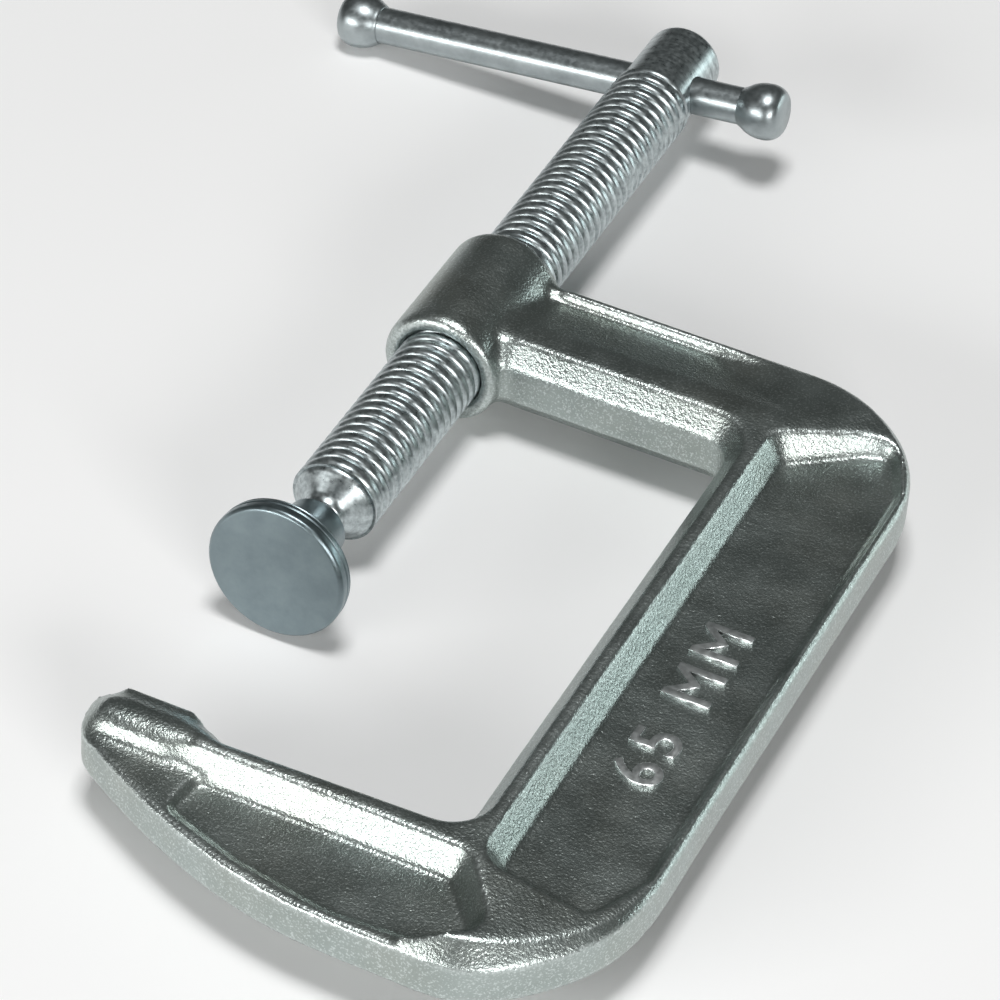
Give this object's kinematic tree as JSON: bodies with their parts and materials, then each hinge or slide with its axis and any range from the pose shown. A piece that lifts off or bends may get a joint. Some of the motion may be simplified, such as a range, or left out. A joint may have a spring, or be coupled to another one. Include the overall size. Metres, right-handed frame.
{
  "type": "c clamp",
  "caption": "Drop-forged C clamp with a threaded screw, a ball-jointed swivel pad and a sliding tommy bar.",
  "frame": {"origin": "centre of the anvil face, on the screw's axis", "axes": "+X from the screw to the spine, +Y up the screw's axis to the handle, +Z square to the flat of the C"},
  "size_m": [0.0981, 0.1503, 0.0165],
  "materials": {
    "forged_zinc": "zinc plated forging, fine grain",
    "rolled_zinc": "zinc plated, rolled thread",
    "turned_zinc": "zinc plated, turned"
  },
  "bodies": {
    "frame": {"frame": "forged_zinc"},
    "stud": {"ball_stud": "rolled_zinc"},
    "screw": {"screw": "rolled_zinc"},
    "handle": {"handle_bar": "turned_zinc", "handle_knob_left": "turned_zinc", "handle_knob_right": "turned_zinc"},
    "pad": {"swivel_pad": "turned_zinc"}
  },
  "joints": [
    {"name": "screw_feed", "type": "slide", "parent": "frame", "child": "stud", "axis": [0, 1, 0], "range_m": [-0.0241, 0.0263]},
    {"name": "screw_turn", "type": "hinge", "parent": "stud", "child": "screw", "pos_m": [0, 0.0362, 0], "axis": [0, 1, 0], "range_deg": [-5760, 6300]},
    {"name": "handle_slide", "type": "slide", "parent": "screw", "child": "handle", "axis": [0.9936, 0, 0.1132], "range_m": [-0.0057, 0.0327]},
    {"name": "pad_tilt", "type": "hinge", "parent": "stud", "child": "pad", "pos_m": [0, 0.0322, 0], "axis": [1, 0, 0], "range_deg": [-8.7, 19.3]}
  ],
  "couplings": [
    {"joint": "screw_feed", "follows": "screw_turn", "m_per_rad": 0.00023873}
  ]
}
